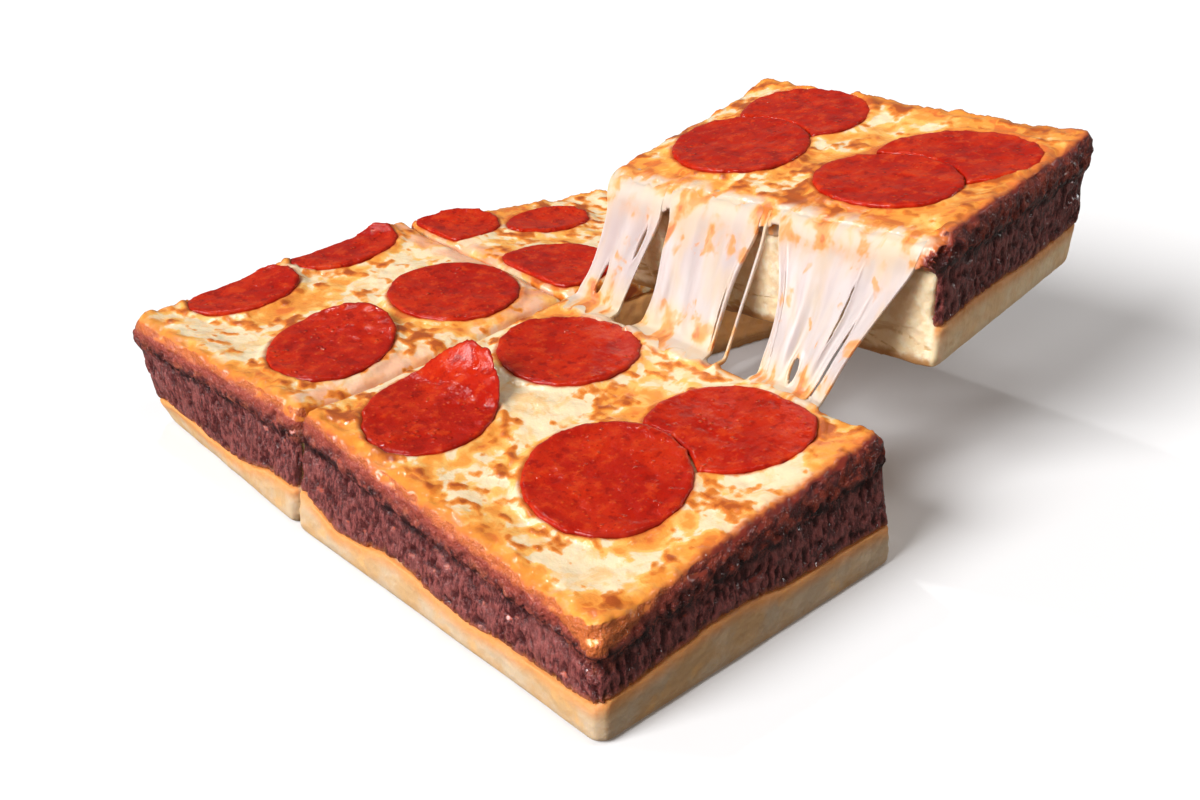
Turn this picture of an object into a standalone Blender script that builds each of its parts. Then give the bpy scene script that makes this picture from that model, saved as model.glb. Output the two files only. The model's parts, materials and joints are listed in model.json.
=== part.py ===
"""Detroit-style pizza: four hand-cut slices of a deep pie, the fourth one lifted on melted cheese.

Lengths in this script are millimetres until the last step, which scales them to metres and puts the
origin at the bottom centre of the bounding box. +X and +Y run along the two cuts, +Z is up.
"""
import math

import bpy
import bmesh
from mathutils import Euler, Matrix, Vector, noise
from mathutils.geometry import delaunay_2d_cdt

# Driving sizes
METRE = 0.001
GAP = 0.3             # clear space left between two pieces that touch
CHEESE_DEPTH = 6.0    # cheese layer as seen on a cut face
SKIRT = 2.5           # browned cheese that runs down an outer wall
RIM_RISE = 1.7        # how far the baked rim stands above the rest of the top
LUMPS = 0.7           # soft unevenness of a cheese top
WALL_LUMPS = 0.45     # unevenness of a baked wall, and of a cut face
CUT_LUMPS = 0.3
BELLY_REACH = 4.0     # how deep into the slice a wall's bulge reaches
PEPPERONI_THICK = 2.1
PEPPERONI_SUNK = 1.0  # how far a pepperoni slice sits in the cheese
PEPPERONI_SIDES = 18
PEPPERONI_UNEVEN = 0.022
FOLD_FROM = 0.4       # share of the radius at which a strongly curled slice starts to rise
FOLD_CURL = 3.0       # a slice that rises further than this is folded
GRID = 12.0           # spacing of the points over a cheese top
STEP = 10.5           # spacing of the points round a slice
PULL_THICK = 1.9
PULL_WAIST = 0.20     # how much a strand narrows at half its length
PULL_SAG = 3.2

# A slice's corners go round as near, right, far, left. Its sides go round the same way.
# "outer" sides are baked walls and "cut" sides show the crumb. wave is the height of the browned
# cheese's lower edge, as parts of the wall's height, at even steps along each outer side. belly is
# how far an outer wall bulges at half its height, at the far end of the slice.
SLICES = {
    "front": {
        "top": ((-0.6, 0.0, 29.0), (100.9, 1.7, 37.2), (98.8, 120.6, 34.5), (2.8, 118.4, 35.0)),
        "bottom": ((-1.4, -1.0), (102.4, -1.6), (99.2, 120.8), (-0.9, 121.3)),
        "sides": ("outer", "cut", "cut", "outer"),
        "corner": (3.2, 2.2, 2.0, 2.2),
        "edge": (1.0, 2.4, 2.2, 1.0),
        "wave": {0: (0.40, 0.42, 0.47, 0.35, 0.34, 0.30), 3: (0.37, 0.33, 0.27, 0.35, 0.22, 0.40)},
    },
    "left": {
        "top": ((3.0, 119.3, 34.0), (99.4, 121.6, 34.0), (98.7, 201.4, 33.0), (-0.4, 203.4, 31.5)),
        "bottom": ((-0.9, 122.2), (99.5, 121.7), (99.0, 192.0), (4.0, 194.5)),
        "sides": ("cut", "cut", "outer", "outer"),
        "corner": (2.2, 2.0, 2.5, 3.2),
        "edge": (5.0, 3.0, 1.0, 1.0),
        "wave": {2: (0.2, 0.25, 0.3, 0.25), 3: (0.33, 0.33, 0.22, 0.20, 0.27, 0.26)},
        "belly": {2: 3.2, 3: 1.2},
    },
    "back": {
        "top": ((100.3, 121.4, 34.0), (182.0, 117.6, 30.0), (168.0, 180.0, 27.0), (99.9, 200.0, 32.0)),
        "bottom": ((100.4, 119.0), (180.0, 100.0), (165.0, 172.0), (100.3, 191.5)),
        "sides": ("cut", "outer", "outer", "cut"),
        "corner": (2.0, 2.5, 4.0, 2.5),
        "edge": (2.4, 1.0, 1.0, 3.0),
        "wave": {1: (0.3, 0.36, 0.28, 0.33), 2: (0.3, 0.26, 0.33, 0.28)},
    },
    "raised": {
        "top": ((0.0, -0.3, 38.4), (78.2, -1.2, 36.6), (77.0, 114.0, 36.2), (0.0, 113.0, 36.5)),
        "bottom": ((0.0, 4.6), (71.6, 4.0), (72.0, 113.0), (0.0, 113.0)),
        "sides": ("outer", "outer", "cut", "cut"),
        "corner": (2.0, 3.0, 2.5, 7.0),
        "edge": (1.0, 1.0, 4.0, 7.0),
        "wave": {0: (0.32, 0.36, 0.31, 0.34), 1: (0.3, 0.36, 0.28, 0.33)},
    },
}
LIFT = Matrix.Translation((128.3, 4.3, 42.9)) @ Euler(
    (math.radians(-4.27), math.radians(-3.75), math.radians(6.19)), "XYZ").to_matrix().to_4x4()

# Pepperoni: centre, length and width of the oval, direction of its length, and how far and in
# which direction its edge curls up. Positions of the raised slice are in its own frame.
PEPPERONI = {
    "front": ((41.6, 42.0, 47.5, 44.0, 54, 0.6, 0), (77.2, 34.6, 46.0, 39.6, 133, 0.2, 0),
              (28.9, 96.3, 44.0, 35.5, 17, 7.6, 12), (76.3, 94.6, 41.6, 38.8, 131, 0.6, 90)),
    "left": ((32.4, 146.0, 44.0, 35.0, 28, 2.4, 15), (77.7, 147.0, 40.8, 38.0, 113, 0.6, 90),
             (34.0, 194.2, 36.0, 26.0, 178, 1.2, 20), (72.4, 197.0, 38.0, 25.0, 173, 3.5, 45)),
    "back": ((111.3, 140.0, 36.0, 31.0, 10, 0.5, 0), (107.4, 186.0, 35.5, 21.0, 5, 2.5, 60),
             (135.4, 170.4, 31.5, 19.5, 10, 1.5, 60), (155.5, 131.5, 33.0, 31.0, 0, 0.4, 0)),
    "raised": ((25.6, 34.9, 44.0, 34.8, 88, 0.4, 180), (47.2, 26.7, 47.0, 37.0, 111, 0.2, 0),
               (29.4, 87.2, 43.0, 40.5, 53, 0.4, 180), (58.1, 84.4, 40.4, 36.6, 80, 0.2, 0)),
}
# A pepperoni slice that lies under its neighbour's edge, and the one above it
UNDER = {"pepperoni_front_2": "pepperoni_front_1", "pepperoni_raised_2": "pepperoni_raised_1",
         "pepperoni_raised_4": "pepperoni_raised_3"}

# Columns of the pulled cheese: place on the raised slice's edge, and on the front slice's edge
PULL_COLUMNS = (
    (110.0, 118.3), (106.5, 114.5), (102.5, 110.5), (98.5, 106.5), (94.5, 102.8), (91.0, 99.6),
    (88.5, 91.5), (84.0, 87.5), (79.0, 83.0), (73.5, 77.5), (67.5, 72.0), (61.5, 67.0), (56.5, 63.5),
    (54.8, 59.3), (52.0, 57.4),
    (49.5, 47.5), (45.0, 44.8), (39.5, 41.5), (34.0, 38.2), (28.0, 35.0), (22.0, 32.0), (16.0, 29.0),
    (10.5, 26.0), (6.0, 23.5),
)
PULL_ROWS = 10
# Openings between the strands: column, first row, last row
PULL_OPEN = ((5, 3, 9), (12, 3, 9), (14, 3, 9), (2, 5, 6), (17, 5, 6), (20, 6, 7), (21, 4, 6))


def wiggle(point, size, seed=0.0):
    """Smooth noise from -1 to 1 with features of the given size."""
    return noise.noise(Vector(point) / size + Vector((seed, 1.7 * seed, 3.1 * seed)))


def mix(a, b, share):
    return a + (b - a) * share


def spread(corners, s, t):
    """Value at s, t between four corner values that go round."""
    low = [mix(a, b, s) for a, b in zip(corners[0], corners[1])]
    high = [mix(a, b, s) for a, b in zip(corners[3], corners[2])]
    return [mix(a, b, t) for a, b in zip(low, high)]


class Slice:
    """Shape of one slice in a nominal rectangle, and where that rectangle goes."""

    def __init__(self, name, spec):
        self.name = name
        self.spec = spec
        near, right, far, left = (Vector(c) for c in spec["top"])
        self.width = ((right - near).xy.length + (far - left).xy.length) / 2
        self.depth = ((left - near).xy.length + (far - right).xy.length) / 2
        self.seed = 3.0 + 2.3 * len(name)

    def level(self, x, y):
        """Height of the top without its relief."""
        return spread([[c[2]] for c in self.spec["top"]], x / self.width, y / self.depth)[0]

    def side_distances(self, x, y):
        return (y, self.width - x, self.depth - y, x)

    def top(self, x, y):
        """Height of the cheese top: a raised baked rim, rounded cut edges and soft lumps."""
        height = self.level(x, y)
        for side, distance in enumerate(self.side_distances(x, y)):
            distance = max(distance, 0.0)
            if self.spec["sides"][side] == "outer":
                height += RIM_RISE * math.exp(-((distance - 3.5) / 4.0) ** 2)
            else:
                radius = self.spec["edge"][side]
                if distance < radius:
                    height -= radius - math.sqrt(radius * radius - (radius - distance) ** 2)
        return height + LUMPS * wiggle((x, y, 0.0), 13.0, self.seed)

    def place(self, x, y, z):
        """Nominal point to its real place, where walls lean as the corners say."""
        s, t = x / self.width, y / self.depth
        share = z / self.level(x, y)
        low = spread(self.spec["bottom"], s, t)
        high = spread([c[:2] for c in self.spec["top"]], s, t)
        return Vector((mix(low[0], high[0], share), mix(low[1], high[1], share), z))

    def plan(self, x, y):
        """Nominal x, y of a real point on the top, found by a few correcting steps."""
        u, v = self.width / 2, self.depth / 2
        for _ in range(12):
            here = self.place(u, v, self.level(u, v))
            u += x - here.x
            v += y - here.y
        return u, v

    def ring(self, insets, spread_corner=0.0):
        """Round-cornered outline, inset by four side values, as (x, y, side, share along the side)."""
        low = (insets[3], insets[0])
        high = (self.width - insets[1], self.depth - insets[2])
        corners = ((low[0], low[1]), (high[0], low[1]), (high[0], high[1]), (low[0], high[1]))
        points = []
        for side in range(4):
            start, end = Vector(corners[side]), Vector(corners[(side + 1) % 4])
            along = (end - start).normalized()
            inward = Vector((-along.y, along.x))
            radius = max(self.spec["corner"][side] - spread_corner, 0.8)
            after = max(self.spec["corner"][(side + 1) % 4] - spread_corner, 0.8)
            hub = start + (along + inward) * radius
            for turn in (20.0, 70.0):
                angle = math.radians(turn)
                spot = hub - along * radius * math.cos(angle) - inward * radius * math.sin(angle)
                back = turn < 45.0
                points.append((spot.x, spot.y, (side - 1) % 4 if back else side, 1.0 if back else 0.0))
            full = (self.width, self.depth)[side % 2]
            count = max(3, round(full / STEP))
            for index in range(count + 1):
                share = index / count
                spot = (start + along * radius).lerp(end - along * after, share)
                points.append((spot.x, spot.y, side, share))
        return points

    def wave(self, side, share):
        """Height of the browned cheese's lower edge at a place on the wall."""
        values = self.spec["wave"].get(side)
        if values is None:
            return 0.32
        if side in (2, 3):
            share = 1.0 - share
        spot = share * (len(values) - 1)
        index = min(int(spot), len(values) - 2)
        rest = spot - index
        rest = rest * rest * (3.0 - 2.0 * rest)
        return mix(values[index], values[index + 1], rest)


def cap_top(body, ring, height):
    """Close a ring of vertices with triangles whose inner points follow a height function."""
    flat = [Vector((v.co.x, v.co.y)) for v in ring]
    count = len(flat)
    low = Vector((min(p.x for p in flat), min(p.y for p in flat)))
    high = Vector((max(p.x for p in flat), max(p.y for p in flat)))
    columns = max(2, round((high.x - low.x) / GRID))
    rows = max(2, round((high.y - low.y) / GRID))
    for i in range(1, columns):
        for j in range(1, rows):
            x = mix(low.x, high.x, (i + 0.35 * noise.noise((i * 1.3, j * 1.7, 0.4))) / columns)
            y = mix(low.y, high.y, (j + 0.35 * noise.noise((i * 1.9, j * 1.1, 5.4))) / rows)
            flat.append(Vector((x, y)))
    edges = [(i, (i + 1) % count) for i in range(count)]
    points, _, faces, origin, _, _ = delaunay_2d_cdt(flat, edges, [], 1, 1e-5)
    verts = []
    for point, source in zip(points, origin):
        if source and source[0] < count:
            verts.append(ring[source[0]])
        else:
            verts.append(body.verts.new((point.x, point.y, height(point.x, point.y))))
    for face in faces:
        body.faces.new([verts[i] for i in face])


def loft(rings, height):
    """Closed body from outline rings, lowest first. Each ring is a list of points."""
    body = bmesh.new()
    loops = [[body.verts.new(p) for p in ring] for ring in rings]
    count = len(rings[0])
    for lower, upper in zip(loops, loops[1:]):
        for i in range(count):
            j = (i + 1) % count
            body.faces.new((lower[i], lower[j], upper[j], upper[i]))
    body.faces.new(list(reversed(loops[0])))
    cap_top(body, loops[-1], height)
    return body


def finish_body(name, body, place):
    """Move nominal points to their places and keep the body as a mesh object."""
    for vert in body.verts:
        vert.co = place(*vert.co)
    bmesh.ops.triangulate(body, faces=body.faces)
    bmesh.ops.remove_doubles(body, verts=body.verts, dist=0.01)
    bmesh.ops.recalc_face_normals(body, faces=body.faces)
    mesh = bpy.data.meshes.new(name)
    body.to_mesh(mesh)
    body.free()
    thing = bpy.data.objects.new(name, mesh)
    bpy.context.scene.collection.objects.link(thing)
    return thing


def block(part):
    """The whole slice in one body: dough wall, creased browned cheese wall, rim and top."""
    outer = (
        (0.7, lambda h: 0.0), (0.0, lambda h: 1.2), (-0.3, lambda h: 0.28 * h), (0.2, lambda h: 0.54 * h),
        (0.9, lambda h: 0.75 * h), (-0.1, lambda h: 0.82 * h), (0.1, lambda h: 0.94 * h),
    )
    cut = (
        (0.4, lambda h: 0.0), (0.0, lambda h: 1.2), (0.2, lambda h: 0.28 * h), (0.0, lambda h: 0.54 * h),
        (0.1, lambda h: 0.74 * h), (0.0, lambda h: 0.81 * h),
    )
    kinds = part.spec["sides"]
    edges = part.spec["edge"]
    centre = Vector((part.width / 2, part.depth / 2))

    def belly(side, distance, y, share):
        """A wall's bulge at a share of its height: none at the near end, most at the far end."""
        most = part.spec.get("belly", {}).get(side, 0.0) * (y / part.depth) ** 2
        return most * math.sin(math.pi * share) * math.exp(-(distance / BELLY_REACH) ** 2)

    rings = []
    for level in range(8):
        insets = []
        for side in range(4):
            if level == 7:
                insets.append(1.7 if kinds[side] == "outer" else 0.5 * edges[side])
            elif kinds[side] == "outer":
                insets.append(outer[level][0])
            elif level < 6:
                insets.append(cut[level][0])
            else:
                insets.append(0.08 * edges[side])
        ring = []
        for x, y, side, share in part.ring(insets):
            high = part.level(x, y)
            if level == 7:
                z = part.top(x, y)
            elif level == 6:
                z = outer[6][1](high) if kinds[side] == "outer" else high - 0.72 * edges[side]
            else:
                z = (outer if kinds[side] == "outer" else cut)[level][1](high)
            if 1 < level < 6:
                z += 0.5 * wiggle((x, y, level * 9.0), 16.0, part.seed)
            size = WALL_LUMPS if kinds[side] == "outer" else CUT_LUMPS
            nudge = size * wiggle((x, y, z), 11.0, part.seed + 9.0) if level else 0.0
            away = (Vector((x, y)) - centre).normalized()
            left = belly(3, x, y, z / high)
            far = belly(2, part.depth - y, y, z / high)
            ring.append((x + away.x * nudge - left, y + away.y * nudge + far, z))
        rings.append(ring)
    inner = [5.0 if kinds[side] == "outer" else 1.0 + edges[side] for side in range(4)]
    rings.append([(x, y, part.top(x, y)) for x, y, _, _ in part.ring(inner, 1.0)])
    return finish_body("block", loft(rings, part.top), part.place)


def dough_body(part, grow):
    """The bread inside the cheese, made larger by grow and run out past the cut faces and the bottom."""
    kinds = part.spec["sides"]
    wide = (-6.0, -6.0, -6.0, -6.0)
    narrow = [SKIRT + GAP - grow if kind == "outer" else -5.0 for kind in kinds]
    low = part.ring(wide)
    high = part.ring(narrow, 2.0)

    def ceiling(x, y):
        drop = CHEESE_DEPTH + GAP
        distances = part.side_distances(x, y)
        for side, kind in enumerate(kinds):
            if kind == "cut":
                drop += part.spec["edge"][side] * 0.8 * math.exp(-max(distances[side], 0.0) / 5.0)
        return part.level(x, y) - drop + grow + 0.5 * wiggle((x, y, 30.0), 12.0, part.seed)

    def edge(x, y, side, share):
        return part.wave(side, share) * part.level(x, y) + grow

    rings = [
        [(x, y, -4.0) for x, y, _, _ in low],
        [(x, y, edge(x, y, side, share)) for x, y, side, share in low],
        [(x, y, edge(x, y, side, share)) for x, y, side, share in high],
        [(x, y, ceiling(x, y)) for x, y, _, _ in high],
    ]
    return finish_body("dough_cutter", loft(rings, ceiling), part.place)


def combine(thing, other, operation):
    """Exact boolean of two bodies, applied. The other body is used up."""
    step = thing.modifiers.new("step", "BOOLEAN")
    step.operation = operation
    step.solver = "EXACT"
    step.object = other
    bpy.context.view_layer.update()
    graph = bpy.context.evaluated_depsgraph_get()
    mesh = bpy.data.meshes.new_from_object(thing.evaluated_get(graph))
    thing.modifiers.remove(step)
    thing.data = mesh
    clean(thing)
    bpy.data.objects.remove(other)


def clean(thing):
    """Merge doubled points and drop faces of no area."""
    body = bmesh.new()
    body.from_mesh(thing.data)
    bmesh.ops.remove_doubles(body, verts=body.verts, dist=0.01)
    bmesh.ops.dissolve_degenerate(body, edges=body.edges, dist=0.01)
    bmesh.ops.triangulate(body, faces=body.faces)
    body.to_mesh(thing.data)
    body.free()


def copy_of(thing, name):
    twin = thing.copy()
    twin.data = thing.data.copy()
    twin.name = name
    bpy.context.scene.collection.objects.link(twin)
    return twin


def pepperoni(part, spec, name, grow, sealed=False):
    """A sliced disc that follows the cheese, with an uneven outline and a curled edge."""
    x, y, length, width, turned, curl, towards = spec
    if part.name != "raised":
        x, y = part.plan(x, y)
    seed = 0.37 * x + 0.91 * y
    heading = Vector((math.cos(math.radians(towards)), math.sin(math.radians(towards))))
    kinds = part.spec["sides"]
    fold = FOLD_FROM if curl > FOLD_CURL else 0.0
    mean = (length + width) / 4
    cut_margin = {"front": 3.4, "back": 1.2}.get(part.name, 2.4)

    def spot(angle, share, lift):
        across = math.hypot(width * math.cos(angle - math.radians(turned)),
                            length * math.sin(angle - math.radians(turned)))
        out = length * width / across / 2
        out *= 1.0 + PEPPERONI_UNEVEN * noise.noise((math.cos(angle), math.sin(angle), seed))
        reach = (out + grow) * share
        px, py = x + reach * math.cos(angle), y + reach * math.sin(angle)
        inside = 6.0 * (1.0 - share) - grow
        margins = [(0.8 if kind == "outer" else cut_margin) + inside for kind in kinds]
        px = min(max(px, margins[3]), part.width - margins[1])
        py = min(max(py, margins[0]), part.depth - margins[2])
        offset = Vector((px - x, py - y)) / mean
        past = max(0.0, offset.dot(heading) - fold) / (1.0 - fold)
        raised = curl * past ** 2 + 0.4 * offset.length_squared
        base = part.level(px, py) + 0.35 * wiggle((px, py, 0.0), 18.0, part.seed)
        return px, py, base + raised + lift

    top = PEPPERONI_THICK - PEPPERONI_SUNK
    low = -PEPPERONI_SUNK - grow
    if sealed:
        top = 12.0
    body = bmesh.new()
    angles = [2 * math.pi * i / PEPPERONI_SIDES for i in range(PEPPERONI_SIDES)]
    stack = ((1.0, low + 0.2), (1.0, top), (0.82, top - 0.1))
    if sealed:
        stack = ((1.0, low), (1.0, top))
    if fold:
        stack = ((0.6, stack[0][1]), *stack)
    if fold and not sealed:
        stack = (*stack, (0.6, top - 0.1))
    loops = [[body.verts.new(spot(a, share, lift)) for a in angles] for share, lift in stack]
    for lower, upper in zip(loops, loops[1:]):
        for i in range(PEPPERONI_SIDES):
            j = (i + 1) % PEPPERONI_SIDES
            body.faces.new((lower[i], lower[j], upper[j], upper[i]))
    for ring, lift, flip in ((loops[0], stack[0][1], True), (loops[-1], stack[-1][1], False)):
        middle = body.verts.new(spot(0.0, 0.0, lift))
        for i in range(PEPPERONI_SIDES):
            j = (i + 1) % PEPPERONI_SIDES
            body.faces.new((ring[j], ring[i], middle) if flip else (ring[i], ring[j], middle))
    return finish_body(name, body, part.place)


def pull_point(raised, column, row):
    """A point of the stretched cheese sheet: it hugs the raised slice's edge, hangs and lands."""
    along, landing = column
    high = raised.level(0.0, along)

    def on_raised(x, z):
        return LIFT @ raised.place(x, along, z)

    front = Vector((mix(100.7, 98.8, landing / 120.0), landing, 36.2))
    inward = 1.8 if landing < 60.0 else 2.6
    start = on_raised(-1.5, high - 12.0)
    finish = front + Vector((1.6, 0.0, -0.6))
    if row <= 3:
        return (on_raised(6.6, high + 0.4), on_raised(2.9, high - 0.8),
                on_raised(-0.3, high - 4.6), start)[row]
    if row >= 8:
        return (finish, front + Vector((-inward, 0.0, 1.0)))[row - 8]
    share = (row - 3) / 5.0
    spot = start.lerp(finish, share)
    spot.z -= PULL_SAG * math.sin(math.pi * share)
    spot.x -= 1.5 * math.sin(math.pi * share)
    spot.x += 1.3 * wiggle((along * 0.9, row * 2.0, 4.0), 9.0)
    return spot


def cheese_pull(raised, name, grow):
    """The stretched sheet with its openings, as a thin closed body."""
    groups = ((0, 5), (6, 12), (13, 14), (15, 23))
    grid = []
    for index, column in enumerate(PULL_COLUMNS):
        line = []
        first, last = next(g for g in groups if g[0] <= index <= g[1])
        for row in range(PULL_ROWS):
            waist = PULL_WAIST * math.sin(math.pi * min(max((row - 2) / 6.0, 0.0), 1.0))
            centre_top = (PULL_COLUMNS[first][0] + PULL_COLUMNS[last][0]) / 2
            centre_low = (PULL_COLUMNS[first][1] + PULL_COLUMNS[last][1]) / 2
            narrowed = (mix(column[0], centre_top, waist), mix(column[1], centre_low, waist))
            line.append(pull_point(raised, narrowed, row))
        grid.append(line)
    columns, rows = len(grid), PULL_ROWS
    closed = set()
    for column, first, last in PULL_OPEN:
        closed.update((column, row) for row in range(first, last + 1))
    cells = [(i, j) for i in range(columns - 1) for j in range(rows - 1) if (i, j) not in closed]
    normals = {}
    for i in range(columns):
        for j in range(rows):
            across = grid[min(i + 1, columns - 1)][j] - grid[max(i - 1, 0)][j]
            down = grid[i][min(j + 1, rows - 1)] - grid[i][max(j - 1, 0)]
            normals[i, j] = across.cross(down).normalized()
    body = bmesh.new()
    faces = {1: {}, -1: {}}
    for sign, verts in faces.items():
        for i, j in {(i + a, j + b) for i, j in cells for a in (0, 1) for b in (0, 1)}:
            thick = PULL_THICK * (1.0 - 0.35 * math.sin(math.pi * min(j / 8.0, 1.0)))
            offset = normals[i, j] * sign * (thick / 2 + grow)
            verts[i, j] = body.verts.new(grid[i][j] + offset)
    chosen = set(cells)
    for i, j in cells:
        corners = ((i, j), (i + 1, j), (i + 1, j + 1), (i, j + 1))
        body.faces.new([faces[1][c] for c in corners])
        body.faces.new([faces[-1][c] for c in reversed(corners)])
        steps = ((0, -1), (1, 0), (0, 1), (-1, 0))
        for side, step in enumerate(steps):
            if (i + step[0], j + step[1]) not in chosen:
                a, b = corners[side], corners[(side + 1) % 4]
                body.faces.new((faces[1][b], faces[1][a], faces[-1][a], faces[-1][b]))
    if grow:
        widen(body, grow)
    return finish_body(name, body, lambda x, y, z: Vector((x, y, z)))


def widen(body, grow):
    """Push every point outwards so that the sheet's edges get clear space too."""
    bmesh.ops.recalc_face_normals(body, faces=body.faces)
    body.normal_update()
    for vert, normal in [(v, v.normal.copy()) for v in body.verts]:
        vert.co += normal * grow * 0.8


def material(name, colour, roughness, subsurface=0.0, coat=0.0):
    paint = bpy.data.materials.new(name)
    paint.use_nodes = True
    shader = paint.node_tree.nodes["Principled BSDF"]
    shader.inputs["Base Color"].default_value = (*colour, 1.0)
    shader.inputs["Roughness"].default_value = roughness
    shader.inputs["Subsurface Weight"].default_value = subsurface
    shader.inputs["Coat Weight"].default_value = coat
    paint.diffuse_color = (*colour, 1.0)
    return paint


def main():
    for thing in list(bpy.data.objects):
        bpy.data.objects.remove(thing)

    bread = material("bread_crust", (0.72, 0.50, 0.26), 0.75)
    cheese = material("baked_cheese", (0.78, 0.42, 0.12), 0.35, 0.1, 0.3)
    meat = material("cured_pepperoni", (0.50, 0.03, 0.01), 0.3, 0.1, 0.4)
    stretched = material("stretched_cheese", (0.85, 0.74, 0.60), 0.3, 0.2, 0.4)

    parts = {name: Slice(name, spec) for name, spec in SLICES.items()}
    finished = []
    cheeses = {}
    for name, part in parts.items():
        crust = block(part)
        crust.name = f"crust_{name}"
        top = copy_of(crust, f"cheese_{name}")
        combine(crust, dough_body(part, 0.0), "INTERSECT")
        combine(top, dough_body(part, GAP), "DIFFERENCE")
        crust.data.materials.clear()
        crust.data.materials.append(bread)
        slices = {}
        for index, spec in enumerate(PEPPERONI[name], 1):
            label = f"pepperoni_{name}_{index}"
            slices[label] = pepperoni(part, spec, label, 0.0)
            combine(top, pepperoni(part, spec, "pocket", GAP, True), "DIFFERENCE")
        for index, spec in enumerate(PEPPERONI[name], 1):
            above = f"pepperoni_{name}_{index}"
            for under, over in UNDER.items():
                if over == above:
                    combine(slices[under], pepperoni(part, spec, "pocket", GAP, True), "DIFFERENCE")
        for thing in slices.values():
            thing.data.materials.clear()
            thing.data.materials.append(meat)
        top.data.materials.clear()
        top.data.materials.append(cheese)
        cheeses[name] = top
        group = [crust, top, *slices.values()]
        if name == "raised":
            for thing in group:
                thing.data.transform(LIFT)
        finished += group

    pull = cheese_pull(parts["raised"], "cheese_pull", 0.0)
    pull.data.materials.append(stretched)
    for name in ("raised", "front"):
        combine(cheeses[name], cheese_pull(parts["raised"], "pull_pocket", GAP), "DIFFERENCE")
    finished.append(pull)

    corners = [v.co for thing in finished for v in thing.data.vertices]
    low = Vector([min(c[i] for c in corners) for i in range(3)])
    high = Vector([max(c[i] for c in corners) for i in range(3)])
    home = Matrix.Scale(METRE, 4) @ Matrix.Translation(
        (-(low.x + high.x) / 2, -(low.y + high.y) / 2, -low.z))
    for thing in finished:
        thing.data.transform(home)
        thing.data.update()
        for face in thing.data.polygons:
            face.use_smooth = True


main()
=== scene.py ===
import json
import math

import bpy
import numpy as np
from mathutils import Euler, Matrix, Vector, bvhtree, kdtree, noise

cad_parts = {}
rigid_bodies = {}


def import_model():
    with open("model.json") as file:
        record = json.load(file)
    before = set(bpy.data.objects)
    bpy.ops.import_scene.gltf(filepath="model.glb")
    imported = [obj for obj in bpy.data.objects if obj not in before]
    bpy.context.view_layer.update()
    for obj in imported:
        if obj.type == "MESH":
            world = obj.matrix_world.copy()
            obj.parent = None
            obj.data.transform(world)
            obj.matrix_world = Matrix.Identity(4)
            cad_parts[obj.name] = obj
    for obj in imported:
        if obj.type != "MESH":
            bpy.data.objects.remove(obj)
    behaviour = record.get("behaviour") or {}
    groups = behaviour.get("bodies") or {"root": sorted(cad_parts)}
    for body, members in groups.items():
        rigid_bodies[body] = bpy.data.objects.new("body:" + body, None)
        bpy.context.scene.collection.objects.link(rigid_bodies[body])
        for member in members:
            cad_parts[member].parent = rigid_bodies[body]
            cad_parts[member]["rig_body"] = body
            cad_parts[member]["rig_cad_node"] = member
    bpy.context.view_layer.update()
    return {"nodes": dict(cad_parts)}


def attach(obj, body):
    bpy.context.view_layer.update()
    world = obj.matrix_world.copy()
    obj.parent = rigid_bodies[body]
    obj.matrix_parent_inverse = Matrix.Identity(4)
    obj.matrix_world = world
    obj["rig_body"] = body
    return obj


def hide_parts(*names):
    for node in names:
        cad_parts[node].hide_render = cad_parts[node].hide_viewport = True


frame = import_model()

# Camera
# A normal lens half a metre from the middle of the pie, off its near outer corner and looking
# down on it. Its place is the photograph's viewpoint, worked out from the pie's corners.
camera_place = Vector((-0.2944, -0.3165, 0.2624))
camera_heading, camera_dip, camera_roll = 47.76, 30.63, -1.27
camera_data = bpy.data.cameras.new("camera")
camera_data.lens = 50.7
camera_data.sensor_width = 36.0
camera_data.clip_start = 0.01
camera = bpy.data.objects.new("camera", camera_data)
camera.matrix_world = (
    Matrix.Translation(camera_place)
    @ Matrix.Rotation(math.radians(camera_heading - 90.0), 4, "Z")
    @ Matrix.Rotation(math.radians(90.0 - camera_dip), 4, "X")
    @ Matrix.Rotation(math.radians(camera_roll), 4, "Z")
)
bpy.context.scene.collection.objects.link(camera)
bpy.context.scene.camera = camera

# Floor and light
# A plain white floor in a dim, warm room, lit by a low soft sun from the left, a lamp overhead and a
# weak one low on the left. Four small lamps give the wet glints. The floor throws no light back on to
# the food, and isn't mirrored in it.
for thing in bpy.context.selected_objects:
    thing.select_set(False)
bpy.ops.mesh.primitive_plane_add(size=6.0, location=(0.0, 0.0, -0.0002))
floor = bpy.context.object
floor.name = "floor"
floor_paint = bpy.data.materials.new("floor")
floor_paint.use_nodes = True
floor_shader = floor_paint.node_tree.nodes["Principled BSDF"]
floor_shader.inputs["Base Color"].default_value = (0.86, 0.86, 0.87, 1.0)
floor_shader.inputs["Roughness"].default_value = 0.7
floor.data.materials.append(floor_paint)
floor.visible_diffuse = False
floor.visible_glossy = False

bpy.context.scene.view_settings.view_transform = "Standard"
world = bpy.data.worlds.new("room")
world.use_nodes = True
world.node_tree.nodes["Background"].inputs["Color"].default_value = (1.0, 0.90, 0.82, 1.0)
world.node_tree.nodes["Background"].inputs["Strength"].default_value = 0.20
bpy.context.scene.world = world


def lamp(name, kind, place, aim, size, strength):
    """A soft lamp that looks at a point: a sun's size is its angle, an area's its width."""
    data = bpy.data.lights.new(name, kind)
    data.energy = strength
    if kind == "SUN":
        data.angle = math.radians(size)
    else:
        data.size = size
    thing = bpy.data.objects.new(name, data)
    thing.location = place
    thing.rotation_euler = (Vector(aim) - Vector(place)).to_track_quat("-Z", "Y").to_euler()
    bpy.context.scene.collection.objects.link(thing)


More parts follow.
